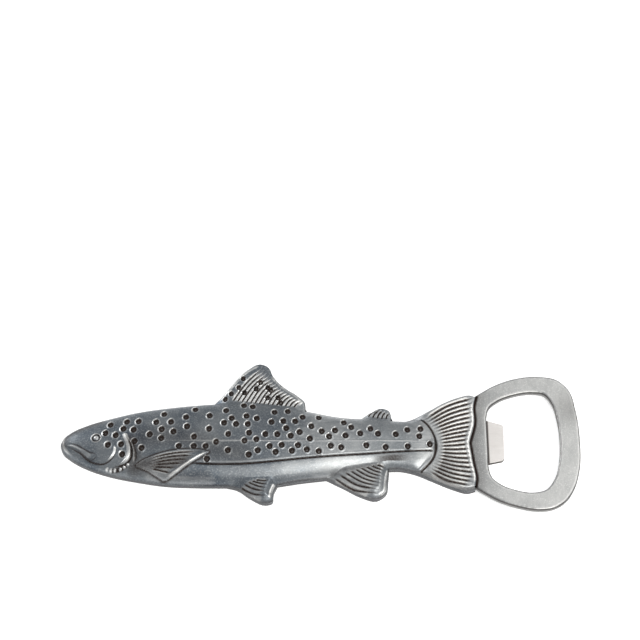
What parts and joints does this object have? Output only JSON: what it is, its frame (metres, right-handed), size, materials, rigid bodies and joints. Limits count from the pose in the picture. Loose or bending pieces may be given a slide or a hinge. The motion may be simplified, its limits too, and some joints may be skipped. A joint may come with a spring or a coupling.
{
  "type": "bottle opener",
  "caption": "Trout-shaped crown-cap bottle opener: relief-cast fish handle with a flat back, holding a flat steel loop with a thin lifting tab.",
  "frame": {"origin": "centre of the object's outline, on the flat back that it lies on", "axes": "+X from the fish's nose to the opener loop, +Y towards the fish's dorsal fin, +Z out of the relief side, up as it lies"},
  "size_m": [0.176, 0.0556, 0.0086],
  "materials": {
    "cast_steel": "satin, darkened in the hollows of the relief",
    "cover_steel": "fine lengthways brushing",
    "plate_steel": "fine brushed, with polished rounded edges",
    "tab_steel": "bright satin",
    "rivet_steel": "satin"
  },
  "bodies": {
    "root": {"front_shell": "cast_steel", "back_cover": "cover_steel", "opener_plate": "plate_steel", "lifting_tab": "tab_steel", "head_rivet": "rivet_steel", "tang_rivet_front": "rivet_steel", "tang_rivet_rear": "rivet_steel", "tab_rivet_upper": "rivet_steel", "tab_rivet_lower": "rivet_steel"}
  },
  "joints": []
}
